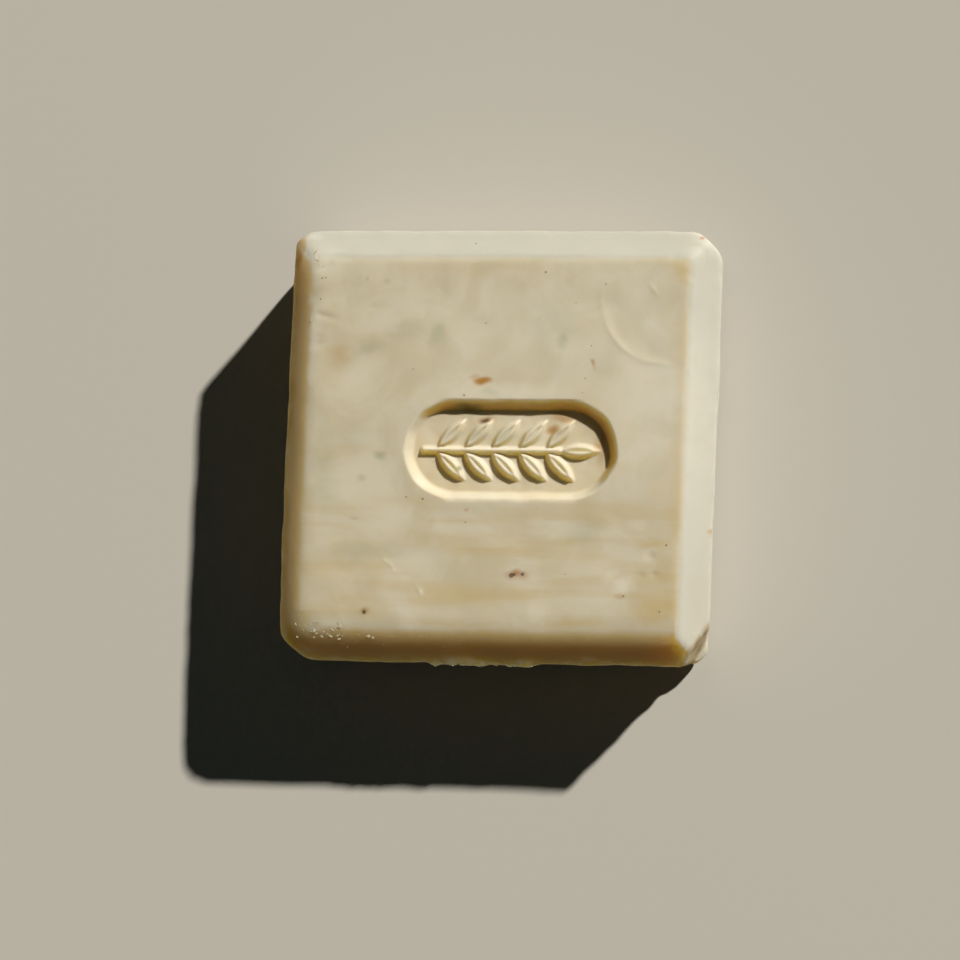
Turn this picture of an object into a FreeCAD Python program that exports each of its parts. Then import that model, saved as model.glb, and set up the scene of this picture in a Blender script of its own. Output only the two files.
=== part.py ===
# A bar of handmade soap: a block cut from a slab, planed along its edges and pressed with a stamp.
# Millimetres, +Z up. The origin is the middle of the underside, and the front of the bar faces -Y.
import FreeCAD, Part
import Sketcher
import os

V = FreeCAD.Vector

doc = FreeCAD.newDocument("SoapBar")
sheet = doc.addObject("Spreadsheet::Sheet", "Sizes")

sizes = {
    # the block
    "bar_width": 70.4,  # left wall to right wall, along X
    "bar_depth": 70.9,  # front wall to back wall, along Y
    "bar_height": 25.0,
    "cut_skew": 1.9,  # the back wall stands this far to the right of the front wall
    # the planed edges, each as wide as it is tall apart from the flatter left one
    "bevel_left": 3.6,
    "bevel_left_drop": 2.9,
    "bevel_right": 5.0,
    "bevel_back": 4.8,
    "bevel_front": 4.4,
    "bevel_under": 2.4,
    # the upright corners, each cut back this far along both walls
    "corner_back_left": 2.2,
    "corner_back_right": 3.9,
    "corner_front_right": 1.6,
    "corner_front_left": 4.4,
    # the front right corner has broken away along a steep slope
    "chip_turn": 33.0,  # degrees from +X towards the front, the way that the slope faces
    "chip_in": 3.9,  # the slope's top from the block's full corner
    "chip_lean": 4.8,  # degrees between the slope and upright
    "chip_depth": 20.0,  # how far below the face the slope ends
    # handling has rounded what the planing left sharp
    "corner_round": 2.8,
    "crisp_round": 1.4,  # the back left corner has kept its cut more than the others
    "front_round": 3.0,
    "back_round": 1.6,
    # the pressed stamp, a long oval
    "stamp_length": 33.0,
    "stamp_breadth": 14.4,
    "stamp_sink": 2.0,
    "stamp_lip": 0.6,
    "stamp_right": 2.1,  # the stamp's middle from the middle of the bar
    "stamp_forward": 0.8,
    # the sprig that stands up from the stamp's floor
    "sprig_margin": 2.2,  # bare floor left at both ends of the sprig
    "sprig_rise": 1.2,
    "stem_thickness": 1.0,
    "leaf_pairs": 5,
    "leaf_length": 6.4,
    "leaf_breadth": 2.2,
    "leaf_slant": 46.0,  # degrees between a side leaf and the stem
}
for row, (alias, size) in enumerate(sizes.items(), start=1):
    sheet.set(f"A{row}", str(size))
    sheet.setAlias(f"A{row}", alias)
doc.recompute()


def origin_feature(body, role):
    """The body's own origin plane or axis of that role."""
    return next(feature for feature in body.Origin.OriginFeatures if feature.Role == role)


def new_sketch(body, name, plane):
    """A sketch on one of the body's origin planes."""
    sketch = body.newObject("Sketcher::SketchObject", name)
    sketch.AttachmentSupport = [(origin_feature(body, plane), "")]
    sketch.MapMode = "FlatFace"
    return sketch


def number(expression):
    """What an expression on the sheet comes to."""
    value = sheet.evalExpression(expression)
    return float(getattr(value, "Value", value))


def bind(sketch, kind, elements, expression):
    """Adds a constraint whose value follows an expression."""
    index = sketch.addConstraint(Sketcher.Constraint(kind, *elements, number(expression)))
    sketch.setExpression(f"Constraints[{index}]", expression)


def pin(sketch, edge, end, place):
    """Holds the end of an edge at a place given as two expressions."""
    bind(sketch, "DistanceX", (-1, 1, edge, end), place[0])
    bind(sketch, "DistanceY", (-1, 1, edge, end), place[1])


def add_polygon(sketch, corners):
    """A closed outline of straight edges, with each corner given as two expressions."""
    first = sketch.GeometryCount
    points = [V(number(x), number(y), 0) for x, y in corners]
    for k, point in enumerate(points):
        sketch.addGeometry(Part.LineSegment(point, points[(k + 1) % len(points)]), False)
    for k, corner in enumerate(corners):
        after = first + (k + 1) % len(corners)
        sketch.addConstraint(Sketcher.Constraint("Coincident", first + k, 2, after, 1))
        pin(sketch, first + k, 1, corner)


def add_leaf(sketch, base, tip):
    """An almond of two arcs between two places, each given as two expressions."""
    upper = sketch.GeometryCount
    lower = upper + 1
    start, end = (V(number(x), number(y), 0) for x, y in (base, tip))
    bulge = V(start.y - end.y, end.x - start.x, 0).normalize() * (number("Sizes.leaf_breadth") / 2)
    middle = (start + end) / 2
    sketch.addGeometry(Part.Arc(end, middle + bulge, start), False)
    sketch.addGeometry(Part.Arc(start, middle - bulge, end), False)
    sketch.addConstraint(Sketcher.Constraint("Coincident", upper, 2, lower, 1))
    sketch.addConstraint(Sketcher.Constraint("Coincident", lower, 2, upper, 1))
    pin(sketch, lower, 1, base)
    pin(sketch, lower, 2, tip)
    radius = "(Sizes.leaf_length ^ 2 + Sizes.leaf_breadth ^ 2) / (4 * Sizes.leaf_breadth)"
    bind(sketch, "Radius", (upper,), radius)
    bind(sketch, "Radius", (lower,), radius)


def add_long_oval(sketch, length, breadth):
    """A slot outline with round ends, centred on the sketch's origin."""
    half, radius = number(f"({length} - {breadth}) / 2"), number(f"{breadth} / 2")
    right = Part.Arc(V(half, -radius, 0), V(half + radius, 0, 0), V(half, radius, 0))
    left = Part.Arc(V(-half, radius, 0), V(-half - radius, 0, 0), V(-half, -radius, 0))
    top = Part.LineSegment(V(half, radius, 0), V(-half, radius, 0))
    bottom = Part.LineSegment(V(-half, -radius, 0), V(half, -radius, 0))
    for edge in (right, top, left, bottom):
        sketch.addGeometry(edge, False)
    for edge in range(4):
        after = (edge + 1) % 4
        sketch.addConstraint(Sketcher.Constraint("Tangent", edge, 2, after, 1))
    sketch.addConstraint(Sketcher.Constraint("Equal", 0, 2))
    sketch.addConstraint(Sketcher.Constraint("Horizontal", 1))
    bind(sketch, "Radius", (0,), f"{breadth} / 2")
    pin(sketch, 0, 3, (f"({length} - {breadth}) / 2", "0"))
    bind(sketch, "DistanceX", (-1, 1, 2, 3), f"({breadth} - {length}) / 2")


def edges_where(shape, wanted):
    """Names of the shape's edges whose midpoint and direction pass a test."""
    names = []
    for index, edge in enumerate(shape.Edges, start=1):
        first, last = edge.Vertexes[0].Point, edge.Vertexes[-1].Point
        if wanted(edge.CenterOfMass, last - first):
            names.append(f"Edge{index}")
    return names


def round_edges(body, name, radius, wanted):
    """A fillet on the edges of the body's present shape that pass a test."""
    doc.recompute()
    base = body.Tip
    fillet = body.newObject("PartDesign::Fillet", name)
    fillet.Base = (base, edges_where(base.Shape, wanted))
    fillet.setExpression("Radius", radius)
    doc.recompute()
    return fillet


def corner(side_x, side_y, cut):
    """Both ends of an upright corner's cut, first the end on the side wall."""
    wall_x = f"{side_x} * Sizes.bar_width / 2"
    wall_y = f"{side_y} * (Sizes.bar_depth / 2 - {cut})"
    on_side = (f"{wall_x} + {wall_y} * Sizes.cut_skew / Sizes.bar_depth", wall_y)
    on_end = (f"{wall_x} - {side_x} * {cut} + {side_y} * Sizes.cut_skew / 2",
              f"{side_y} * Sizes.bar_depth / 2")
    return on_side, on_end


def make_block(body):
    """The upright block with its cut corners."""
    outline = new_sketch(body, "BlockOutline", "XY_Plane")
    cuts = ((1, 1, "Sizes.corner_back_right", "Sizes.corner_round"),
            (-1, 1, "Sizes.corner_back_left", "Sizes.crisp_round"),
            (-1, -1, "Sizes.corner_front_left", "Sizes.corner_round"),
            (1, -1, "Sizes.corner_front_right", "Sizes.corner_round"))
    corners = []
    for side_x, side_y, cut, _ in cuts:
        ends = corner(side_x, side_y, cut)
        corners += ends if side_x == side_y else reversed(ends)
    add_polygon(outline, corners)
    block = body.newObject("PartDesign::Pad", "Block")
    block.Profile = outline
    block.setExpression("Length", "Sizes.bar_height")
    for side_x, side_y, cut, radius in cuts:
        name = cut.split(".")[1].title().replace("_", "")
        round_edges(body, name, f"min({radius}; {cut})",
                    lambda middle, way, sx=side_x, sy=side_y:
                    abs(way.z) > abs(way.x) + abs(way.y) and middle.x * sx > 0 and middle.y * sy > 0)


def add_bevel(sketch, side, wall, top, width, drop):
    """The triangle that planes one long edge away.
    It reaches past the block by the bevel's own size. The top is a height, or 0 for the underside."""
    up = 1 if top != "0" else -1
    beyond = f"{side} * ({wall} + {width})"
    inward = f"{side} * ({wall} - 2 * {width})"
    above = f"{top} + {up} * {drop}"
    below = f"{top} - {up} * 2 * {drop}"
    add_polygon(sketch, [(beyond, below), (beyond, above), (inward, above)])


def plane_edges(body, name, plane, wall, bevels):
    """Planes the four long edges along two facing walls, right through the block.
    The two upper ones are each given as a width and a drop."""
    sketch = new_sketch(body, name + "Outline", plane)
    for side, (width, drop) in zip((-1, 1), bevels):
        add_bevel(sketch, side, wall, "Sizes.bar_height", width, drop)
        add_bevel(sketch, side, wall, "0", "Sizes.bevel_under", "Sizes.bevel_under")
    cut = body.newObject("PartDesign::Pocket", name)
    cut.Profile = sketch
    cut.Type = "ThroughAll"
    cut.Midplane = True
    return sketch


def break_corner(body):
    """The slope along which the front right corner has broken away."""
    corner = ("((Sizes.bar_width - Sizes.cut_skew) / 2 * cos(Sizes.chip_turn)"
              " + Sizes.bar_depth / 2 * sin(Sizes.chip_turn))")
    top = f"{corner} - Sizes.chip_in"
    foot = f"{top} + Sizes.chip_depth * tan(Sizes.chip_lean)"
    beyond = f"{corner} + Sizes.chip_depth"
    high, low = "Sizes.bar_height", "Sizes.bar_height - Sizes.chip_depth"
    sketch = new_sketch(body, "ChipOutline", "XZ_Plane")
    sketch.AttachmentOffset = FreeCAD.Placement(V(0, 0, 0), FreeCAD.Rotation(V(0, -1, 0), 1))
    sketch.setExpression("AttachmentOffset.Rotation.Angle", "Sizes.chip_turn")
    add_polygon(sketch, [(top, high), (foot, low), (beyond, low), (beyond, high)])
    chip = body.newObject("PartDesign::Pocket", "Chip")
    chip.Profile = sketch
    chip.Type = "ThroughAll"
    chip.Midplane = True


def on_floor(sketch, height):
    """Moves a sketch to the stamp's middle, at a height given as an expression."""
    sketch.setExpression("AttachmentOffset.Base.x", "Sizes.stamp_right")
    sketch.setExpression("AttachmentOffset.Base.y", "-Sizes.stamp_forward")
    sketch.setExpression("AttachmentOffset.Base.z", height)


def press_stamp(body):
    """The sunk long oval with its rounded lip."""
    outline = new_sketch(body, "StampOutline", "XY_Plane")
    on_floor(outline, "Sizes.bar_height")
    add_long_oval(outline, "Sizes.stamp_length", "Sizes.stamp_breadth")
    stamp = body.newObject("PartDesign::Pocket", "Stamp")
    stamp.Profile = outline
    stamp.setExpression("Length", "Sizes.stamp_sink")
    top = number("Sizes.bar_height")
    reach = number("Sizes.stamp_length / 2 + 0.01"), number("Sizes.stamp_breadth / 2 + 0.01")
    middle_x, middle_y = number("Sizes.stamp_right"), -number("Sizes.stamp_forward")
    round_edges(body, "StampLip", "min(Sizes.stamp_lip; 0.9 * Sizes.stamp_sink)",
                lambda middle, way: abs(middle.z - top) < 0.001
                and abs(middle.x - middle_x) < reach[0] and abs(middle.y - middle_y) < reach[1])


def raise_pad(body, name, draw):
    """Raises a piece of the sprig from the stamp's floor. draw adds its outline to the sketch."""
    sketch = new_sketch(body, name + "Outline", "XY_Plane")
    on_floor(sketch, "Sizes.bar_height - Sizes.stamp_sink")
    draw(sketch)
    pad = body.newObject("PartDesign::Pad", name)
    pad.Profile = sketch
    pad.setExpression("Length", "Sizes.sprig_rise")
    doc.recompute()
    return pad


def add_sprig(body):
    """A stem with pairs of side leaves and one leaf at its end."""
    start = "(Sizes.sprig_margin - Sizes.stamp_length / 2)"
    stem = "(Sizes.stamp_length - 2 * Sizes.sprig_margin - Sizes.leaf_length)"
    step = f"({stem} / Sizes.leaf_pairs)"
    half = "Sizes.stem_thickness / 2"
    first = f"{start} + {step} / 2"
    end = f"{start} + {stem}"
    beyond = f"{end} + {half}"
    stem_corners = [(start, f"-{half}"), (beyond, f"-{half}"), (beyond, half), (start, half)]
    end_tip = f"{end} + Sizes.leaf_length"
    raise_pad(body, "Stem", lambda sketch: add_polygon(sketch, stem_corners))
    raise_pad(body, "EndLeaf", lambda sketch: add_leaf(sketch, (end, "0"), (end_tip, "0")))
    root = "Sizes.stem_thickness / 4"
    tip_x = f"{first} + Sizes.leaf_length * cos(Sizes.leaf_slant)"
    tip_y = f"({root} + Sizes.leaf_length * sin(Sizes.leaf_slant))"

    def side_leaves(sketch):
        add_leaf(sketch, (first, root), (tip_x, tip_y))
        add_leaf(sketch, (first, f"-{root}"), (tip_x, f"-{tip_y}"))

    leaves = raise_pad(body, "SideLeaves", side_leaves)
    row = body.newObject("PartDesign::LinearPattern", "LeafRow")
    row.Originals = [leaves]
    row.Direction = (origin_feature(body, "X_Axis"), [""])
    row.setExpression("Length", f"{step} * (Sizes.leaf_pairs - 1)")
    row.setExpression("Occurrences", "Sizes.leaf_pairs")
    body.Tip = row
    doc.recompute()


def round_face_edge(body, name, side, bevel, radius):
    """Rounds the long edge between the face and the bevel of the front or the back."""
    edge_y = side * number(f"Sizes.bar_depth / 2 - {bevel}")
    top = number("Sizes.bar_height")
    round_edges(body, name, f"min({radius}; {bevel})",
                lambda middle, way: abs(middle.z - top) < 0.001 and abs(middle.y - edge_y) < 0.001)


def make_soap():
    """The whole bar, one solid."""
    body = doc.addObject("PartDesign::Body", "SoapBarBody")
    body.Label = "soap_bar"
    make_block(body)
    sides = plane_edges(body, "SidePlaning", "XZ_Plane",
                        "(Sizes.bar_width / 2 * cos(atan(Sizes.cut_skew / Sizes.bar_depth)))",
                        (("Sizes.bevel_left", "Sizes.bevel_left_drop"),
                         ("Sizes.bevel_right", "Sizes.bevel_right")))
    sides.AttachmentOffset = FreeCAD.Placement(V(0, 0, 0), FreeCAD.Rotation(V(0, -1, 0), 1))
    sides.setExpression("AttachmentOffset.Rotation.Angle", "atan(Sizes.cut_skew / Sizes.bar_depth)")
    plane_edges(body, "EndPlaning", "YZ_Plane", "(Sizes.bar_depth / 2)",
                (("Sizes.bevel_front", "Sizes.bevel_front"),
                 ("Sizes.bevel_back", "Sizes.bevel_back")))
    round_face_edge(body, "FrontRounding", -1, "Sizes.bevel_front", "Sizes.front_round")
    round_face_edge(body, "BackRounding", 1, "Sizes.bevel_back", "Sizes.back_round")
    break_corner(body)
    press_stamp(body)
    add_sprig(body)
    return body


soap = make_soap()
doc.recompute()
for thing in doc.Objects:
    if {"Invalid", "Error"} & set(thing.State):
        raise RuntimeError(f"{thing.Label} failed: {thing.State}")
if soap.Shape.isNull() or not soap.Shape.isValid() or len(soap.Shape.Solids) != 1:
    raise RuntimeError(f"{soap.Label} is not one valid solid")

os.makedirs("parts", exist_ok=True)
soap.Shape.exportStep(f"parts/{soap.Label}.step")
print(f"{soap.Label}: {soap.Shape.Volume / 1000:.1f} cm3, {soap.Shape.BoundBox}")
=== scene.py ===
import bmesh
import bpy
import math
import random
from mathutils import Matrix, Vector, noise
from mathutils.bvhtree import BVHTree
from mathutils.kdtree import KDTree


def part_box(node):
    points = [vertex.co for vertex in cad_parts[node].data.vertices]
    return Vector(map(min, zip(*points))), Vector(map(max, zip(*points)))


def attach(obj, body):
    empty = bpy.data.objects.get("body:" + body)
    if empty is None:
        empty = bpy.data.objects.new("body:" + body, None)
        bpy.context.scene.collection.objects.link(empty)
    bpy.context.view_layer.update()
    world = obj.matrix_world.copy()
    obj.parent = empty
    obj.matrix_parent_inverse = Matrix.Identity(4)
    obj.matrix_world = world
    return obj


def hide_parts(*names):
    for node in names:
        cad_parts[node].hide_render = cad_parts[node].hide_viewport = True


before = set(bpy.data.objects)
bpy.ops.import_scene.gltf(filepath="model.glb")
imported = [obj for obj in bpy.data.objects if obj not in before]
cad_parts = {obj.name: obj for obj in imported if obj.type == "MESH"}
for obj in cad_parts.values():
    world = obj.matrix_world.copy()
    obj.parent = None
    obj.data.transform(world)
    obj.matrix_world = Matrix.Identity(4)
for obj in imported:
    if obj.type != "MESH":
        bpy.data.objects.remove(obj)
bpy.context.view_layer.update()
mm = 0.001
scene = bpy.context.scene
lowest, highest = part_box("soap_bar")
topZ = highest.z / mm
print("frame loaded, bar is", [round(side / mm, 1) for side in highest - lowest], "mm")


def link(name, mesh):
    thing = bpy.data.objects.new(name, mesh)
    scene.collection.objects.link(thing)
    return thing


def smoothStep(low, high, value):  # 0 at low, 1 at high, and low may be the larger one
    share = min(max((value - low) / (high - low), 0.0), 1.0)
    return share * share * (3 - 2 * share)


# The bar itself. All lengths in these dictionaries are in mm.
barShape = {
    "voxel": 0.6,
    "smoothing": 2,
    "skew": 0.027,  # the side walls lean this much to the right for each mm towards the back
    "unevenness": ((14.0, 0.16), (5.0, 0.06), (2.2, 0.010)),  # size of the lumps, and how high
    "edgeWobble": ((7.0, 0.20), (2.2, 0.12)),
    "leftEase": (-28.6, 14), "frontEase": (-27.4, 36),  # worn edges: where they begin, and passes
    "rimOut": 0.2, "creaseIn": 0.04,  # the rims of the walls keep their full size
}
ragged = {  # crumbled stretch of the front wall's upper rim
    "from": -11.0, "to": 6.2, "height": 20.3, "reach": 1.1, "out": 0.6,
}
softCorners = [  # corners that handling has rounded: place, reach, passes of smoothing, lowest height
    ((34.4, 33.6), 6.5, 9, 0), ((-34.6, -33.6), 6.0, 8, 0), ((-34.2, 33.2), 3.6, 6, 15),
]
breakage = {  # the broken front right corner: a point on its slope, and the way it faces
    "place": (31.3, -33.6, 20.0), "facing": (0.836, -0.543, 0.084), "lowest": 5.5,
    "ragged": ((3.4, 0.4), (1.7, 0.14)),
}
stamp = {
    "middle": (2.1, -0.8), "length": 33.0, "breadth": 14.4, "sink": 2.0,
    "lip": 0.9, "foot": 0.6,  # the wall runs from this far outside the outline to this far inside
    "halo": 0.14, "haloReach": 3.2,  # soap pushed up round the stamp
    "floorLumps": ((3.2, 0.10), (1.3, 0.03)),
}
sprig = {
    "margin": 2.2, "rise": 1.2, "stem": 1.0, "pairs": 5, "leafLength": 6.4, "leafBreadth": 2.2,
    "slant": 46.0, "soft": 0.55, "vein": 0.34, "veinWidth": 0.26,
}
dents = [  # place, length, breadth, turn in degrees, depth
    ((-28.6, 20.8), 3.4, 1.0, -12, 0.10), ((-30.6, 24.0), 2.2, 1.2, 60, 0.10),
    ((-29.6, 16.2), 2.0, 1.4, 20, 0.10), ((-9.6, 25.2), 3.4, 1.0, -50, 0.03),
    ((-29.0, 29.0), 3.0, 2.0, 30, 0.14), ((-27.0, 31.0), 3.0, 1.4, -20, 0.12),
    ((24.9, 25.4), 2.4, 0.5, -50, -0.07), ((25.3, 13.2), 2.6, 0.6, -12, 0.06),
    ((-17.2, -19.7), 3.4, 0.4, -47, -0.07), ((-12.4, -23.8), 1.7, 0.5, -50, -0.07),
    ((24.8, -17.7), 1.5, 1.4, 0, 0.10), ((23.4, -20.9), 1.0, 0.9, 0, 0.08),
    ((25.5, -20.7), 1.1, 1.0, 0, 0.08), ((10.4, 17.2), 1.4, 2.6, 20, 0.06),
    ((-21.0, 22.4), 1.2, 0.8, 0, 0.06), ((-12.2, 21.0), 1.6, 0.8, 60, 0.06),
]
ringMark = {"middle": (27.1, 23.8), "radius": 10.6, "ridge": 0.07, "width": 0.35, "hollow": 0.09}


# the shade side: where the soap faces away from the light from this azimuth; it gets a painted gold glow of shade
shadeSide = {"from": 49.2, "turned": (0.04, 0.40), "inStamp": 0.35, "stampMost": 0.75, "stampLitSlope": 0.9, "cornerLead": 0.3}


def leafPlaces():  # base and direction of every leaf, about the stamp's middle
    start = sprig["margin"] - stamp["length"] / 2
    stemLength = stamp["length"] - 2 * sprig["margin"] - sprig["leafLength"]
    step = stemLength / sprig["pairs"]
    slant = math.radians(sprig["slant"])
    places = [(Vector((start + stemLength, 0)), Vector((1, 0)))]
    for pair in range(sprig["pairs"]):
        base = start + step * (pair + 0.5)
        for side in (1, -1):
            places.append((Vector((base, side * sprig["stem"] / 4)),
                           Vector((math.cos(slant), side * math.sin(slant)))))
    return places, start, start + stemLength


leaves, stemStart, stemEnd = leafPlaces()
leafArc = (sprig["leafLength"] ** 2 + sprig["leafBreadth"] ** 2) / (4 * sprig["leafBreadth"])


def sprigHeight(spot):  # height of the sprig above the stamp's floor, with spot from the stamp's middle
    length, breadth = sprig["leafLength"], sprig["leafBreadth"]
    along = min(max(spot.x, stemStart), stemEnd)
    nearest = math.hypot(spot.x - along, spot.y) - sprig["stem"] / 2
    vein = 0.0
    for base, way in leaves:
        local = spot - base
        run = local.dot(way)
        off = abs(local.x * way.y - local.y * way.x)
        if -1.0 < run < length + 1.0 and off < breadth:
            toArc = math.hypot(run - length / 2, off + leafArc - breadth / 2)
            nearest = min(nearest, toArc - leafArc)
            fade = smoothStep(0.4, 1.6, run) * smoothStep(length - 0.6, length - 2.2, run)
            vein = max(vein, fade * math.exp(-(off / sprig["veinWidth"]) ** 2))
    swell = smoothStep(sprig["soft"] / 2, -sprig["soft"], nearest)
    return swell * (sprig["rise"] - sprig["vein"] * vein)


def octaves(place, layers, seed):
    return sum(high * noise.noise(place / size + Vector((seed, 0, 0))) for size, high in layers)


def stampRelief(x, y):  # how far the stamp moves the face up or down at a place
    spot = Vector((x - stamp["middle"][0], y - stamp["middle"][1]))
    half = (stamp["length"] - stamp["breadth"]) / 2
    along = min(max(spot.x, -half), half)
    outside = math.hypot(spot.x - along, spot.y) - stamp["breadth"] / 2
    if outside > stamp["haloReach"] * 2.5:
        return 0.0
    outside += octaves(Vector((x, y, 0)), ((3.0, 0.18),), 5.1)
    sunk = smoothStep(stamp["lip"], -stamp["foot"], outside)
    pushed = stamp["halo"] * math.exp(-(max(outside, 0) / stamp["haloReach"]) ** 2) * (1 - sunk)
    lumps = octaves(Vector((x, y, 0)), stamp["floorLumps"], 8.3)
    return pushed - sunk * (stamp["sink"] + lumps) + smoothStep(0.2, -0.4, outside) * sprigHeight(spot)


def dentDepth(x, y):
    depth = 0.0
    for (dentX, dentY), length, breadth, turn, deep in dents:
        angle = math.radians(turn)
        run = (x - dentX) * math.cos(angle) + (y - dentY) * math.sin(angle)
        off = (y - dentY) * math.cos(angle) - (x - dentX) * math.sin(angle)
        depth += deep * math.exp(-(2 * run / length) ** 2 - (2 * off / breadth) ** 2)
    return depth


def ringRelief(x, y):  # the faint round mark near the back right corner
    fromX, fromY = x - ringMark["middle"][0], y - ringMark["middle"][1]
    away = math.hypot(fromX, fromY) - ringMark["radius"]
    shown = smoothStep(2.0, -3.0, fromX) * smoothStep(3.0, -2.0, fromY)
    shown *= 0.7 + 0.6 * noise.noise(Vector((x / 3, y / 3, 4)))
    ridge = ringMark["ridge"] * math.exp(-(away / ringMark["width"]) ** 2)
    hollow = ringMark["hollow"] * smoothStep(0.2, -1.6, away) * smoothStep(-7.0, -1.0, away)
    return shown * (ridge - hollow)


def mergedCopy(node):
    work = bmesh.new()
    work.from_mesh(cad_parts[node].data)
    bmesh.ops.scale(work, vec=(1 / mm,) * 3, verts=work.verts)
    bmesh.ops.remove_doubles(work, verts=work.verts, dist=0.0005)
    return work


def fillStamp(work):  # lifts the stamp level with the face, to be pressed again on a finer mesh
    reachX, reachY = stamp["length"] / 2 + 1, stamp["breadth"] / 2 + 1
    for vert in work.verts:
        inX = abs(vert.co.x - stamp["middle"][0]) < reachX
        inY = abs(vert.co.y - stamp["middle"][1]) < reachY
        if inX and inY and vert.co.z > topZ - stamp["sink"] - 0.1:
            vert.co.z = topZ


def remesh(work, size):
    mesh = bpy.data.meshes.new("rough")
    work.to_mesh(mesh)
    work.free()
    rough = link("rough", mesh)
    even = rough.modifiers.new("even", "REMESH")
    even.mode = "VOXEL"
    even.voxel_size = size
    finished = bmesh.new()
    finished.from_object(rough, bpy.context.evaluated_depsgraph_get())
    bpy.data.objects.remove(rough)
    bpy.data.meshes.remove(mesh)
    return finished


def smooth(work, verts, passes):
    for _ in range(passes):
        bmesh.ops.smooth_vert(work, verts=verts, factor=0.5,
                              use_axis_x=True, use_axis_y=True, use_axis_z=True)


def softenCorners(work):
    for (cornerX, cornerY), reach, passes, bottom in softCorners:
        near = [vert for vert in work.verts if vert.co.z > bottom
                and abs(vert.co.x - cornerX) < reach and abs(vert.co.y - cornerY) < reach]
        smooth(work, near, passes)


def easeEdges(work):  # the shaded edges of the face are rounder than the lit ones
    upper = [vert for vert in work.verts if vert.co.z > topZ - 3.0]
    reach, passes = barShape["leftEase"]
    smooth(work, [vert for vert in upper if vert.co.x - vert.co.y * barShape["skew"] < reach], passes)
    reach, passes = barShape["frontEase"]
    smooth(work, [vert for vert in upper if vert.co.y < reach and vert.co.x < 29.0], passes)


def onRaggedRim(place):
    inX = ragged["from"] - 1 < place.x < ragged["to"] + 1
    return inX and place.y < -34.4 and abs(place.z - ragged["height"]) < ragged["reach"] + 0.4


def tearRim(work):
    for vert in work.verts:
        if onRaggedRim(vert.co):
            ends = smoothStep(ragged["from"] - 1, ragged["from"] + 1, vert.co.x)
            ends *= smoothStep(ragged["to"] + 1, ragged["to"] - 1, vert.co.x)
            level = smoothStep(ragged["reach"], 0.2, abs(vert.co.z - ragged["height"]))
            torn = 0.5 + octaves(vert.co, ((1.0, 0.8), (0.5, 0.5)), 31.0)
            vert.co.y -= ragged["out"] * ends * level * max(torn, 0.0)


def refine(work, wanted, cuts):  # divides the faces that pass a test
    chosen = [face for face in work.faces if wanted(face)]
    edges = {edge for face in chosen for edge in face.edges}
    bmesh.ops.subdivide_edges(work, edges=list(edges), cuts=cuts, use_grid_fill=True)


def sharpness(vert):  # 0 on a flat part, 1 on a bevel's edge
    normals = [face.normal for face in vert.link_faces]
    least = min((one.dot(other) for one in normals for other in normals), default=1.0)
    return smoothStep(0.0, 0.4, math.acos(min(max(least, -1.0), 1.0)))


def roughen(work):
    work.normal_update()
    wear = work.verts.layers.float["edgeWear"]
    edges = {vert: sharpness(vert) for vert in work.verts}
    for _ in range(3):  # spreads the edges a little
        edges = {vert: max(share, 0.75 * max(edges[edge.other_vert(vert)] for edge in vert.link_edges))
                 for vert, share in edges.items()}
    goldShadeAndTint = work.verts.layers.float["goldShadeAndTint"]
    place, facing = Vector(breakage["place"]), Vector(breakage["facing"]).normalized()
    for vert, share in edges.items():
        vert[wear] = share
        shift = octaves(vert.co, barShape["unevenness"], 3.7)
        crease = vert.co.z > topZ - 2.5
        shift += share * octaves(vert.co, barShape["edgeWobble"], 11.3) * (0.4 if crease else 1.0)
        wide = max(abs(vert.normal.y), vert.normal.x * smoothStep(-10.0, 15.0, vert.co.y))
        shift += share * (-barShape["creaseIn"] if crease else barShape["rimOut"] * wide)
        if vert.co.z > breakage["lowest"]:
            broken = smoothStep(-0.9, -0.2, (vert.co - place).dot(facing))
            shift += broken * (octaves(vert.co, breakage["ragged"], 23.0) - 0.1)
            # the broken slope is half in shade: a gold glow of shade is painted on it
            vert[goldShadeAndTint] = 0.8 * smoothStep(-0.6, -0.1, (vert.co - place).dot(facing))
        if vert.co.z > 1.0:
            vert.co += vert.normal * shift


def pressFace(work):
    for vert in work.verts:
        if vert.co.z > topZ - 0.8:
            x, y = vert.co.x, vert.co.y
            shown = smoothStep(topZ - 0.8, topZ - 0.4, vert.co.z)
            vert.co.z += shown * (stampRelief(x, y) + ringRelief(x, y) - dentDepth(x, y))


def onFace(face):
    return face.calc_center_median().z > topZ - 0.9 and face.normal.z > 0.8


def nearStamp(face):
    place = face.calc_center_median()
    inX = abs(place.x - stamp["middle"][0]) < stamp["length"] / 2 + 1.4
    return inX and abs(place.y - stamp["middle"][1]) < stamp["breadth"] / 2 + 1.4 and onFace(face)
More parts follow.
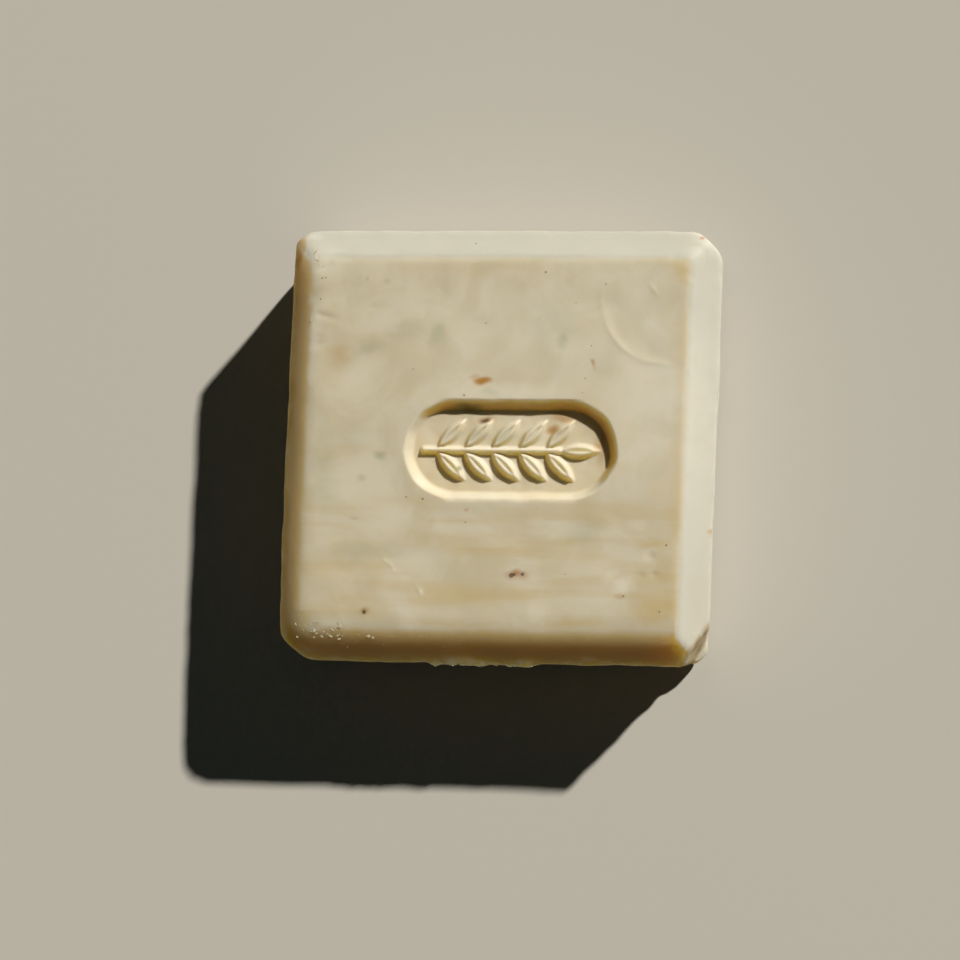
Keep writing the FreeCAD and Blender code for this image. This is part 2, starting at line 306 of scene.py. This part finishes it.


# What the soap shows on its face and bevels as ovals painted on the mesh, mostly stain colours, with gold ones that
# are painted shade glow:
# place, half length and half breadth, turn in degrees, strength, softness from 0 to 1.
stainAndGlowOvals = {
    "pale": [
        ((-30.1, 30.4), (1.6, 0.35), -67, 0.9, 1.0), ((-28.1, 29.8), (1.7, 0.35), 30, 0.8, 1.0),
        ((-26.4, 31.4), (0.9, 0.3), 70, 0.7, 1.0), ((-29.8, -30.2), (2.6, 0.9), -14, 0.9, 1.0),
        ((24.0, 8.0), (16.0, 30.0), 10, 0.65, 1.0), ((21.6, 23.0), (1.6, 5.6), -20, 0.5, 1.0),
        ((24.6, 19.6), (4.6, 4.0), -20, 0.7, 1.0), ((20.6, -22.2), (3.4, 2.2), 0, 1.0, 1.0),
        ((18.6, -21.0), (2.6, 1.6), 30, 0.6, 1.0), ((22.6, -12.6), (3.2, 2.0), 0, 0.4, 1.0),
        ((-28.6, 29.0), (4.6, 4.8), 40, 0.35, 1.0), ((-30.2, 20.0), (1.2, 7.0), 0, 0.5, 1.0),
        ((-28.0, 23.2), (3.0, 2.4), 0, 0.4, 1.0), ((-27.6, -29.4), (4.0, 1.6), 8, 0.45, 1.0),
        ((2.1, -0.8), (23.5, 13.0), 0, 0.4, 0.8), ((2.0, 8.6), (16.0, 3.4), 0, 0.6, 1.0),
        ((4.0, 18.0), (26.0, 13.0), 0, 0.45, 1.0), ((20.0, 22.0), (9.0, 9.0), 0, 0.4, 1.0),
        ((-12.0, 4.0), (6.0, 8.0), 10, 0.35, 1.0), ((-24.6, 7.6), (8.0, 4.6), 0, 0.2, 1.0),
        ((-24.0, -21.4), (9.0, 2.2), 0, 0.4, 1.0), ((-8.0, -27.6), (16.0, 1.6), -3, 0.3, 1.0),
        ((13.0, -18.6), (9.0, 3.6), -8, 0.3, 1.0), ((0.0, -29.6), (28.0, 0.9), 0, 0.3, 1.0),
        ((-18.0, -18.9), (0.9, 0.35), -47, 1.0, 1.0),
        ((-16.6, -20.5), (0.7, 0.35), -47, 1.0, 1.0), ((-12.2, -24.0), (0.9, 0.35), -50, 1.0, 1.0),
    ],
    "tan": [
        ((29.4, -4.0), (2.6, 24.0), -2, 0.75, 0.9), ((26.6, -26.0), (8.0, 4.4), 8, 1.0, 1.0),
        ((27.4, -20.0), (3.4, 5.4), 0, 0.6, 1.0), ((25.8, -15.9), (4.6, 0.9), 0, 0.7, 0.9),
        ((29.6, 28.4), (2.6, 3.2), 20, 0.9, 1.0), ((29.6, 14.0), (1.8, 16.0), 0, 0.45, 1.0),
        ((-8.0, 28.6), (20.0, 2.2), 0, 0.25, 1.0), ((3.6, 27.6), (7.0, 3.6), 0, 0.2, 1.0),
        ((-12.6, 28.0), (2.4, 4.0), 0, 0.2, 1.0), ((-9.0, -15.6), (26.0, 2.4), 0, 0.35, 1.0),
        ((-2.0, -24.6), (16.0, 2.0), -2, 0.35, 1.0), ((-14.0, -9.2), (12.0, 2.0), 0, 0.35, 1.0),
        ((13.6, -28.6), (9.0, 1.3), 3, 0.55, 1.0), ((-24.0, -25.6), (7.0, 1.8), 0, 0.4, 1.0),
        ((20.6, 6.2), (2.2, 9.0), 12, 0.2, 1.0), ((25.6, -7.0), (2.4, 4.0), 0, 0.3, 1.0),
    ],
    "olive": [
        ((-20.4, -17.3), (13.0, 2.4), 0, 0.4, 1.0), ((9.0, 20.0), (5.4, 6.4), 20, 0.35, 1.0),
        ((10.2, 17.1), (1.4, 2.5), 10, 0.8, 1.0), ((-21.1, 15.9), (3.0, 1.8), 10, 0.6, 1.0),
        ((-10.0, 17.8), (2.4, 3.2), -15, 0.75, 1.0), ((-19.3, -1.8), (1.9, 1.1), 0, 1.0, 1.0),
        ((-22.1, -5.5), (1.3, 0.9), 20, 0.7, 1.0), ((-14.6, 18.6), (5.0, 3.0), 0, 0.35, 1.0),
        # the olive oval at (-5.2, 5.8) here and the dark oval at (-5.2, 6.2) below darken the stamp's upper wall
        ((-23.4, 1.0), (6.0, 4.0), 0, 0.25, 1.0), ((-5.2, 5.8), (4.6, 1.5), 0, 1.0, 0.9),
        ((-1.6, 8.6), (2.4, 1.0), -10, 0.5, 1.0), ((-23.2, -12.1), (1.1, 0.5), 0, 0.6, 1.0),
        ((-28.4, -4.0), (3.6, 14.0), 0, 0.4, 1.0), ((14.0, -14.0), (5.0, 3.4), 20, 0.35, 1.0),
        ((6.6, 20.6), (0.9, 0.8), 0, 0.5, 1.0), ((-18.4, 26.6), (0.9, 0.6), 0, 0.6, 1.0),
        ((-21.8, 26.9), (0.6, 0.9), 0, 0.7, 1.0), ((-6.4, -3.8), (0.8, 0.8), 0, 1.0, 0.9),
        ((-29.4, 17.8), (1.2, 0.7), -10, 0.5, 1.0), ((17.0, 12.0), (2.6, 2.0), 0, 0.3, 1.0),
        ((-3.0, 20.4), (2.0, 1.6), 0, 0.3, 1.0), ((-2.0, 1.6), (8.0, 2.4), 0, 0.3, 1.0),
    ],
    "amber": [
        ((-2.5, 10.4), (1.9, 0.95), 0, 1.0, 0.7), ((-3.8, 11.0), (1.4, 0.8), 0, 0.4, 1.0),
        ((-26.3, 14.4), (2.6, 3.2), 0, 0.3, 1.0), ((8.9, 2.6), (1.7, 1.1), 0, 0.85, 1.0),
        ((10.6, 4.6), (3.4, 1.4), -10, 0.55, 1.0), ((15.2, 13.4), (0.45, 0.9), 20, 0.75, 1.0),
        ((34.6, -13.7), (0.7, 0.8), 0, 0.7, 1.0), ((20.2, -24.2), (1.5, 0.9), 0, 0.35, 1.0),
        ((16.6, 0.4), (1.4, 5.0), 0, 0.5, 1.0), ((-21.3, -27.4), (1.5, 1.3), 0, 0.5, 1.0),
        ((-5.0, -3.2), (2.0, 0.8), 0, 0.25, 1.0),
    ],
    "rust": [
        ((3.3, -21.0), (2.6, 1.2), 0, 0.9, 1.0), ((-4.9, -10.6), (0.6, 0.3), 0, 0.9, 1.0),
        ((32.6, 34.3), (0.7, 0.45), -10, 1.0, 0.9), ((15.1, 13.9), (0.4, 0.35), 0, 0.8, 1.0),
        ((-2.1, 4.1), (1.9, 1.0), -5, 0.8, 1.0), ((15.6, 12.6), (0.4, 0.6), 20, 0.3, 1.0),
    ],
    # gold painted shade glow where the back left corner turns from the light, and a faint gold tint low on the right
    # bevel
    "goldShadeAndTint": [
        ((-33.4, 31.6), (1.4, 4.0), -6, 1.0, 0.7), ((32.8, -25.0), (3.0, 11.0), 0, 0.12, 1.0),
    ],
    "dark": [
        ((2.7, -21.0), (0.8, 0.45), 0, 0.4, 1.0), ((4.4, -20.8), (0.5, 0.4), 0, 0.3, 1.0),
        ((-21.4, -27.4), (0.7, 0.65), 20, 0.6, 1.0), ((-2.1, 4.0), (1.3, 0.7), -5, 0.9, 0.9),
        ((-6.4, -3.8), (0.5, 0.6), 0, 0.6, 1.0), ((-5.2, 6.2), (2.8, 0.8), 0, 0.4, 1.0),
    ],
}
specks = [  # small dark dots on the face: place and radius
    ((2.5, -21.1), 0.34), ((3.0, -21.0), 0.2), ((4.3, -20.9), 0.24), ((-21.4, -27.4), 0.28),
    ((-14.8, -8.6), 0.1), ((-12.1, -8.9), 0.13), ((14.0, 10.9), 0.1), ((17.2, 26.2), 0.1),
    ((-29.2, 27.0), 0.14), ((-28.6, 27.1), 0.08), ((-4.2, 33.0), 0.12), ((7.4, 28.1), 0.13),
    ((27.4, -15.9), 0.12), ((26.4, -26.6), 0.13), ((11.2, -20.8), 0.08), ((20.6, -24.2), 0.16),
    ((-29.4, 23.6), 0.1), ((12.4, 23.2), 0.05), ((-5.6, 8.0), 0.14), ((15.0, 16.2), 0.1),
    ((-2.2, 19.8), 0.06), ((-14.0, 12.2), 0.05), ((-5.1, -12.6), 0.1), ((13.6, 8.6), 0.07),
]


def paintShadeSide(work):  # 1 where the soap faces away from the light, and there it glows golden
    # on this shade side a gold glow is painted into the colour and the long-reach subsurface copy is used: painted
    # shade glow
    work.normal_update()
    layer, tilt, goldShadeAndTint = (work.verts.layers.float[name] for name in ("shadeSide", "tilt", "goldShadeAndTint"))
    azimuth = math.radians(shadeSide["from"])
    toLight = Vector((math.cos(azimuth), math.sin(azimuth), 0))
    for vert in work.verts:
        toSun = vert.normal.dot(toLight)
        upright = vert.normal.to_2d().length
        early = shadeSide["cornerLead"] * smoothStep(0.7, 0.98, upright) * (1 - vert[goldShadeAndTint])
        vert[layer] = smoothStep(*shadeSide["turned"], early - toSun)
        # lit slope: how steep the soap is, only where it faces the light; it carries the darker colour painted on
        # lit bevels, a painted shade
        vert[tilt] = upright * smoothStep(-0.06, 0.04, toSun - early)
        if vert.co.z > topZ - 3.0:
            spot = vert.co.to_2d() - Vector(stamp["middle"])
            half = (stamp["length"] - stamp["breadth"]) / 2
            along = min(max(spot.x, -half), half)
            outside = math.hypot(spot.x - along, spot.y) - stamp["breadth"] / 2
            within = smoothStep(0.5, -0.5, outside)
            most = 1.0 - (1.0 - shadeSide["stampMost"]) * within
            # in and round the stamp the lit-slope shade is mostly left out
            vert[tilt] *= 1.0 - shadeSide["stampLitSlope"] * smoothStep(1.6, 0.8, outside)
            # in the stamp's hollow the shade-side mask is raised to at least inStamp and held under the stampMost
            # limit, so a painted gold glow of shade fills the recess
            if vert.co.z < topZ - 0.5:
                vert[layer] = min(max(vert[layer], shadeSide["inStamp"] * within), most)


def paintStainAndGlowOvals(work):
    work.verts.ensure_lookup_table()
    shown = [vert for vert in work.verts if vert.co.z > topZ - 6]
    tree = KDTree(len(shown))
    for index, vert in enumerate(shown):
        tree.insert((vert.co.x, vert.co.y, 0), index)
    tree.balance()
    for name, spots in stainAndGlowOvals.items():
        layer = work.verts.layers.float[name]
        for place, (halfLength, halfBreadth), turn, strength, soft in spots:
            middle, angle = Vector((*place, 0)), math.radians(-turn)
            for found, index, _distance in tree.find_range(middle, max(halfLength, halfBreadth) + 1.5):
                away = found - middle
                away += 0.45 * Vector(noise.noise_vector(found / 1.7)).to_2d().to_3d() * min(halfBreadth, 1.5)
                away.rotate(Matrix.Rotation(angle, 3, "Z"))
                reach = math.hypot(away.x / halfLength, away.y / halfBreadth)
                vert = shown[index]
                vert[layer] = max(vert[layer], strength * smoothStep(1.0, 1.0 - soft, reach))


def makeBar():
    work = mergedCopy("soap_bar")
    fillStamp(work)
    work = remesh(work, barShape["voxel"])
    for name in ("edgeWear", "shadeSide", "tilt", *stainAndGlowOvals):
        work.verts.layers.float.new(name)
    smooth(work, work.verts, barShape["smoothing"])
    softenCorners(work)
    easeEdges(work)
    roughen(work)
    refine(work, lambda face: onRaggedRim(face.calc_center_median()), 1)
    tearRim(work)
    refine(work, lambda face: onFace(face) and not nearStamp(face), 1)
    refine(work, nearStamp, 2)
    pressFace(work)
    paintShadeSide(work)
    paintStainAndGlowOvals(work)
    bmesh.ops.scale(work, vec=(mm,) * 3, verts=work.verts)
    mesh = bpy.data.meshes.new("handmade_bar")
    work.to_mesh(mesh)
    work.free()
    mesh.shade_smooth()
    bar = link("handmade_bar", mesh)
    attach(bar, "root")
    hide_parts("soap_bar")
    print("bar made,", sum(len(face.vertices) - 2 for face in mesh.polygons), "triangles")
    return bar


bar = makeBar()


# Crumbs of soap that cling to the worn edges.
crumbLines = [  # from, to, spread, how many, smallest and largest size
    ((-31.2, 32.0), (-29.6, 28.6), 0.35, 30, (0.03, 0.16)),
    ((-31.0, 24.0), (-31.0, 16.0), 0.25, 14, (0.03, 0.12)),
    ((-32.2, -29.6), (-25.0, -31.0), 0.75, 70, (0.03, 0.34)),
    ((-27.0, -30.6), (-19.0, -31.6), 0.6, 18, (0.04, 0.14)),
    ((-30.0, -32.4), (6.0, -33.0), 0.9, 16, (0.04, 0.12)),
    ((33.2, -31.2), (31.0, -33.8), 0.25, 24, (0.03, 0.12)),
    ((-10.0, -31.0), (28.0, -31.0), 0.5, 12, (0.04, 0.12)),
    ((-33.2, 22.0), (-33.6, -28.0), 0.8, 30, (0.04, 0.12)),
    ((-25.0, -25.0), (25.0, 25.0), 14.0, 16, (0.03, 0.08)),
]
rimCrumbs = {"from": -11.0, "to": 6.0, "count": 22, "size": (0.06, 0.2), "height": 20.2, "spread": (1.2, 0.6)}
flakes = [  # thin pieces that lie on the edge: place, half sizes, turn in degrees
    ((-20.7, -31.2), (0.4, 0.3, 0.05), 12), ((-20.0, -31.5), (0.34, 0.2, 0.05), -30),
    ((-25.3, -29.7), (0.40, 0.30, 0.08), 40), ((-30.6, 31.2), (0.6, 0.22, 0.07), 60),
    ((-30.9, 20.2), (0.5, 0.18, 0.06), 80),
]


def addCrumb(work, place, sizes, turn, draw, roundness=1):
    made = bmesh.ops.create_icosphere(work, subdivisions=roundness, radius=1.0)["verts"]
    turned = Matrix.Rotation(turn, 3, "Z")
    for vert in made:
        vert.co *= draw.uniform(0.5, 1.4)
        vert.co = turned @ (vert.co * Vector(sizes)) + place


def onSurface(surface, x, y):
    hit, _normal, _index, _distance = surface.ray_cast(Vector((x, y, 40)) * mm, Vector((0, 0, -1)))
    return hit / mm if hit and hit.z > 0.012 else None


def makeCrumbs(bar):
    draw = random.Random(41)
    work = bmesh.new()
    surface = BVHTree.FromObject(bar, bpy.context.evaluated_depsgraph_get())
    for first, last, spread, count, sizes in crumbLines:
        for _ in range(count):
            share = draw.random()
            x, y = (start + (end - start) * share + draw.gauss(0, spread) for start, end in zip(first, last))
            place = onSurface(surface, x, y)
            size = sizes[0] + (sizes[1] - sizes[0]) * draw.random() ** 2
            stretch = [size * draw.uniform(*limits) for limits in ((0.7, 1.5), (0.6, 1.2), (0.12, 0.3))]
            if place:
                addCrumb(work, place, stretch, draw.uniform(0, math.tau), draw)
    for _ in range(rimCrumbs["count"]):
        x = draw.uniform(rimCrumbs["from"], rimCrumbs["to"])
        z = rimCrumbs["height"] + draw.uniform(-rimCrumbs["spread"][0], rimCrumbs["spread"][1])
        hit, _normal, _index, _distance = surface.ray_cast(Vector((x, -60, z)) * mm, Vector((0, 1, 0)))
        size = draw.uniform(*rimCrumbs["size"])
        if hit:
            addCrumb(work, hit / mm, (size * 1.2, size, size * 0.7), draw.uniform(0, math.tau), draw)
    for (x, y), sizes, turn in flakes:
        place = onSurface(surface, x, y)
        if place:
            addCrumb(work, place, sizes, math.radians(turn), draw, 2)
    bmesh.ops.scale(work, vec=(mm,) * 3, verts=work.verts)
    mesh = bpy.data.meshes.new("edge_crumbs")
    work.to_mesh(mesh)
    work.free()
    crumbs = link("edge_crumbs", mesh)
    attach(crumbs, "root")
    print("crumbs made,", len(mesh.polygons), "triangles")
    return crumbs


crumbs = makeCrumbs(bar)


class Value:  # a node's output that sums can be written with
    def __init__(self, paint, socket):
        self.paint, self.socket = paint, socket

    def sum(self, operation, *values):
        return self.paint.node("ShaderNodeMath", {"operation": operation}, dict(enumerate(values)))

    def __add__(self, other):
        return self.sum("ADD", self, other)

    def __sub__(self, other):
        return self.sum("SUBTRACT", self, other)

    def __mul__(self, other):
        return self.sum("MULTIPLY", self, other)

    def __rsub__(self, other):
        return self.sum("SUBTRACT", other, self)

    __radd__, __rmul__ = __add__, __mul__

    def either(self, other):
        return self.sum("MAXIMUM", self, other)

    def nearer(self, other):
        return self.sum("MINIMUM", self, other)

    def between(self, low, high):  # a smooth step from 0 at low to 1 at high
        return self.paint.node("ShaderNodeMapRange", {"interpolation_type": "SMOOTHSTEP"},
                               {"Value": self, "From Min": low, "From Max": high})


class Paint:  # builds one material's nodes
    def __init__(self, name):
        self.material = bpy.data.materials.new(name)
        self.material.use_nodes = True
        self.tree = self.material.node_tree
        self.tree.nodes.clear()

    def node(self, kind, settings=None, sockets=None, out=0):  # out may be several outputs
        made = self.tree.nodes.new(kind)
        for setting, value in (settings or {}).items():
            setattr(made, setting, value)
        for socket, value in (sockets or {}).items():
            if isinstance(value, Value):
                self.tree.links.new(value.socket, made.inputs[socket])
            else:
                made.inputs[socket].default_value = value
        if isinstance(out, tuple):
            return [Value(self, made.outputs[each]) for each in out]
        return Value(self, made.outputs[out]) if made.outputs else None

    def mix(self, share, first, second, blend="MIX"):
        return self.node("ShaderNodeMix", {"data_type": "RGBA", "blend_type": blend},
                         {0: share, 6: first, 7: second}, 2)

    def noise(self, place, size, detail=3.0, roughness=0.55, warp=0.0):
        return self.node("ShaderNodeTexNoise", None, {
            "Vector": place, "Scale": 1 / size, "Detail": detail, "Roughness": roughness,
            "Distortion": warp})

    def vector(self, operation, *values, out=0):
        return self.node("ShaderNodeVectorMath", {"operation": operation}, dict(enumerate(values)), out)

    def painted(self, name):  # one of the mesh's painted layers
        return self.node("ShaderNodeAttribute", {"attribute_name": name}, None, "Fac")


def srgb(red, green, blue):
    def linear(level):
        level /= 255
        return level / 12.92 if level < 0.04045 else ((level + 0.055) / 1.055) ** 2.4
    return (linear(red), linear(green), linear(blue), 1.0)


soapColours = {
    # the plainer soap under the skin, painted darker for slopes that face the light: partly its own colour, partly
    # painted shade
    "dimmedHeart": srgb(181, 176, 158), "dimmedHeartRight": srgb(190, 184, 166),
    "skin": srgb(210, 199, 173), "skinTan": srgb(201, 188, 156),
    "pale": srgb(224, 216, 195), "tan": srgb(197, 173, 122), "olive": srgb(150, 150, 112),
    "amber": srgb(172, 118, 14), "rust": srgb(168, 102, 34), "dark": srgb(42, 30, 8),
    # painted gold glow of shade for the left and the front sides that face away from the light; the first also gives
    # the crumbs their random tone
    "shadeGlowAndCrumbTone": srgb(205, 180, 127), "frontShadeGlow": srgb(201, 172, 112),
    # golden is a painted gold glow of shade on corners; wear and crumb are the soap's own colours
    "goldShadeAndTint": srgb(166, 132, 66), "wear": srgb(226, 218, 198), "crumb": srgb(194, 178, 146),
}
soapSkin = {  # scale of each pattern in mm, and how strongly it shows
    "cloud": 11.0, "mottle": 2.6, "grain": 0.7, "streak": (30.0, 3.2, 8.0), "streakShare": 0.38,
    "upright": (2.6, 16.0, 8.0), "uprightShare": 0.08,
    "roughness": 0.58, "relief": 0.008,
    "wallStreak": (18.0, 18.0, 2.4), "wallShare": 0.6,
    "flecks": 4.0, "fleckRadius": 0.08, "fleckRarity": 0.6,
}
glow = {  # how far light travels inside in mm, for red, green and blue, in the sun and in the shade
    "short": 0.5, "shortColours": (1.0, 0.75, 0.55), "long": 15.0, "longColours": (1.0, 0.8, 0.27),
}


def makeSoap():
    paint = Paint("milled_soap")
    place = paint.node("ShaderNodeTexCoord", None, None, "Object")
    place = paint.node("ShaderNodeVectorMath", {"operation": "SCALE"}, {0: place, "Scale": 1 / mm})
    x, y, z = paint.node("ShaderNodeSeparateXYZ", None, {0: place}, ("X", "Y", "Z"))
    cloud = paint.noise(place, soapSkin["cloud"], 4.0, 0.6, 0.6)
    mottle = paint.noise(place, soapSkin["mottle"], 4.0, 0.6)
    grain = paint.noise(place, soapSkin["grain"], 2.0, 0.6)

    skin = paint.mix(cloud.between(0.36, 0.64), soapColours["skinTan"], soapColours["skin"])

    # planing has left long streaks from left to right, mostly on the front half
    long = paint.noise(paint.vector("DIVIDE", place, soapSkin["streak"]), 1.0, 2.0, 0.5)
    streaks = long.between(0.48, 0.68) * y.between(6.0, -12.0) * soapSkin["streakShare"]
    skin = paint.mix(streaks, skin, soapColours["tan"])
    tall = paint.noise(paint.vector("DIVIDE", place, soapSkin["upright"]), 1.0, 3.0, 0.6)
    upright = tall.between(0.48, 0.7) * y.between(18.0, 30.0) * soapSkin["uprightShare"]
    skin = paint.mix(upright, skin, soapColours["tan"])

    # under the skin the soap is plainer; that plainer colour is painted darker on slopes that face the light
    # (painted shade), and a gold glow is painted where the soap faces away from the light (painted shade glow)
    across = x - y * barShape["skew"]
    dimmedHeart = paint.mix(across.between(28.0, 31.0), soapColours["dimmedHeart"], soapColours["dimmedHeartRight"])
    wall = paint.noise(paint.vector("DIVIDE", place, soapSkin["wallStreak"]), 1.0, 3.0, 0.6)
    wall = wall.between(0.42, 0.7) * z.between(topZ - 5.0, topZ - 7.0) * soapSkin["wallShare"]
    dimmedHeart = paint.mix(wall, dimmedHeart, soapColours["skinTan"])
    # the lit-slope mask paints the plainer, darker colour onto slopes that face the light: painted shade
    litSteepness = paint.painted("tilt") + (mottle - 0.5) * 0.16 + (cloud - 0.5) * 0.16
    litSlopeShare = litSteepness.between(0.07, 0.54)
    colour = paint.mix(litSlopeShare, skin, dimmedHeart)
    # where the soap faces away from the light a gold glow of shade is painted in, in one tone on the left and
    # another on the front
    turned = paint.painted("shadeSide")
    shadeGlowAndCrumbTone = paint.mix(y.between(-29.0, -32.0), soapColours["shadeGlowAndCrumbTone"], soapColours["frontShadeGlow"])
    colour = paint.mix(turned.between(0.1, 0.75), colour, shadeGlowAndCrumbTone)

    # stain colours, the gold painted shade glow on the corners, and the dried pale soap round the stamp and on the
    # worn edges
    broken = 0.55 + mottle * 0.9
    shares = {"tan": 0.8, "pale": 0.75, "olive": 0.5, "goldShadeAndTint": 0.8, "amber": 0.9, "rust": 0.8, "dark": 0.9}
    for name, share in shares.items():
        shown = paint.painted(name) * share
        if name in ("tan", "pale", "olive"):
            shown = shown * broken
        if name == "tan":
            shown = shown * (1.0 - litSlopeShare)
        colour = paint.mix(shown, colour, soapColours[name])
    worn = across.between(-28.0, -30.0).either(y.between(-28.0, -30.0)) * 0.8 + 0.2
    wear = paint.painted("edgeWear") * paint.noise(place, 2.2, 4.0, 0.7).between(0.45, 0.65) * worn
    colour = paint.mix(wear * 0.4, colour, soapColours["wear"])

    # small dark dots where the face shows them, and scattered ones on the other sides
    level = paint.vector("MULTIPLY", place, (1.0, 1.0, 0.0))
    nearest = None
    for at, radius in specks:
        away = paint.vector("DISTANCE", level, (*at, 0.0), out="Value") - radius
        nearest = away if nearest is None else nearest.nearer(away)
    dots = (nearest + (grain - 0.5) * 0.25).between(0.1, -0.05) * z.between(topZ - 6.0, topZ - 5.5)
    away, lot = paint.node("ShaderNodeTexVoronoi", {"feature": "F1"}, {
        "Vector": place, "Scale": 1 / soapSkin["flecks"]}, ("Distance", "Color"))
    lot = paint.node("ShaderNodeSeparateColor", None, {0: lot}, "Red")
    rarity = soapSkin["fleckRarity"]
    flecks = away.between(soapSkin["fleckRadius"], soapSkin["fleckRadius"] * 0.4)
    flecks = flecks * lot.between(rarity, rarity + 0.05) * z.between(topZ - 4.5, topZ - 5.5)
    fleckColour = paint.mix(lot.between(0.8, 0.82), soapColours["dark"], soapColours["rust"])
    colour = paint.mix(flecks * 0.7, colour, fleckColour)
    colour = paint.mix(dots * 0.6, colour, soapColours["dark"])

    relief = (grain - 0.5) * soapSkin["relief"] + (mottle - 0.5) * soapSkin["relief"]
    bump = paint.node("ShaderNodeBump", None, {"Strength": 0.8, "Distance": mm, "Height": relief}, "Normal")
    roughness = (mottle - 0.5) * 0.2 + wear * 0.15 + soapSkin["roughness"]
    near, far = (paint.node("ShaderNodeBsdfPrincipled", {"subsurface_method": "RANDOM_WALK"}, {
        "Base Color": colour, "Roughness": roughness, "Normal": bump, "Subsurface Weight": 1.0,
        "Subsurface Radius": glow[reach + "Colours"], "Subsurface Scale": glow[reach] * mm,
        "IOR": 1.45, "Specular IOR Level": 0.2}) for reach in ("short", "long"))
    # the long-reach subsurface copy is mixed in where the shade side is painted: a lit and a shaded copy of the
    # soap, a painted shade glow
    surface = paint.node("ShaderNodeMixShader", None, {0: turned.between(0.15, 1.0), 1: near, 2: far})
    paint.node("ShaderNodeOutputMaterial", None, {"Surface": surface})
    return paint.material


def makeCrumbled():
    paint = Paint("crumbled_soap")
    place = paint.node("ShaderNodeTexCoord", None, None, "Object")
    place = paint.node("ShaderNodeVectorMath", {"operation": "SCALE"}, {0: place, "Scale": 1 / mm})
    colour = paint.mix(paint.noise(place, 1.2) * 0.2, soapColours["crumb"], soapColours["shadeGlowAndCrumbTone"])
    bump = paint.node("ShaderNodeBump", None, {
        "Strength": 0.6, "Distance": mm, "Height": paint.noise(place, 0.15) * 0.05}, "Normal")
    surface = paint.node("ShaderNodeBsdfPrincipled", {"subsurface_method": "RANDOM_WALK"}, {
        "Base Color": colour, "Roughness": 0.6, "Normal": bump, "Subsurface Weight": 0.5,
        "Subsurface Radius": (1.0, 0.7, 0.45), "Subsurface Scale": 0.2 * mm, "Specular IOR Level": 0.3})
    paint.node("ShaderNodeOutputMaterial", None, {"Surface": surface})
    return paint.material


bar.data.materials.append(makeSoap())
crumbs.data.materials.append(makeCrumbled())
print("soap materials made")


# A plain pale floor, a key light from the back right and an even fill.
setting = {
    "floorColour": srgb(187, 180, 165), "floorHalf": 2.5,
    "sunAzimuth": 49.2, "sunHeight": 34.9, "sunPower": 5.1, "sunWidth": 2.0,
    "fill": 0.029, "fillColour": srgb(218, 246, 250),
}


def makeFloor():
    work = bmesh.new()
    bmesh.ops.create_grid(work, x_segments=1, y_segments=1, size=setting["floorHalf"])
    mesh = bpy.data.meshes.new("floor")
    work.to_mesh(mesh)
    work.free()
    floor = link("floor", mesh)
    paint = Paint("floor_paint")
    surface = paint.node("ShaderNodeBsdfPrincipled", None, {
        "Base Color": setting["floorColour"], "Roughness": 0.9, "Specular IOR Level": 0.15})
    paint.node("ShaderNodeOutputMaterial", None, {"Surface": surface})
    mesh.materials.append(paint.material)


def makeLight():
    azimuth, height = math.radians(setting["sunAzimuth"]), math.radians(setting["sunHeight"])
    level = math.cos(height)
    toLamp = Vector((level * math.cos(azimuth), level * math.sin(azimuth), math.sin(height)))
    lamp = bpy.data.lights.new("key", "SUN")
    lamp.energy = setting["sunPower"]
    lamp.angle = math.radians(setting["sunWidth"])
    key = link("key", lamp)
    key.rotation_euler = toLamp.to_track_quat("Z", "Y").to_euler()
    world = bpy.data.worlds.new("fill")
    scene.world = world
    world.use_nodes = True
    background = world.node_tree.nodes["Background"]
    background.inputs["Color"].default_value = setting["fillColour"]
    background.inputs["Strength"].default_value = setting["fill"]


# The camera looks almost straight down, as in the photograph.
view = {
    "place": (32.85, -19.7, 417.0), "target": (-5.08, -4.84, 0.0), "upward": (-0.0145, 1.0, 0.0),
    "lens": 91.16, "sensor": 36.0,
}


def makeCamera():
    place, target = Vector(view["place"]) * mm, Vector(view["target"]) * mm
    backward = (place - target).normalized()
    right = Vector(view["upward"]).cross(backward).normalized()
    upward = backward.cross(right)
    data = bpy.data.cameras.new("camera")
    data.lens, data.sensor_width = view["lens"], view["sensor"]
    data.clip_start, data.clip_end = 0.01, 20
    camera = link("camera", data)
    camera.matrix_world = Matrix.Translation(place) @ Matrix((right, upward, backward)).transposed().to_4x4()
    scene.camera = camera


makeFloor()
makeLight()
makeCamera()
scene.view_settings.view_transform = "Standard"
print("stage set")
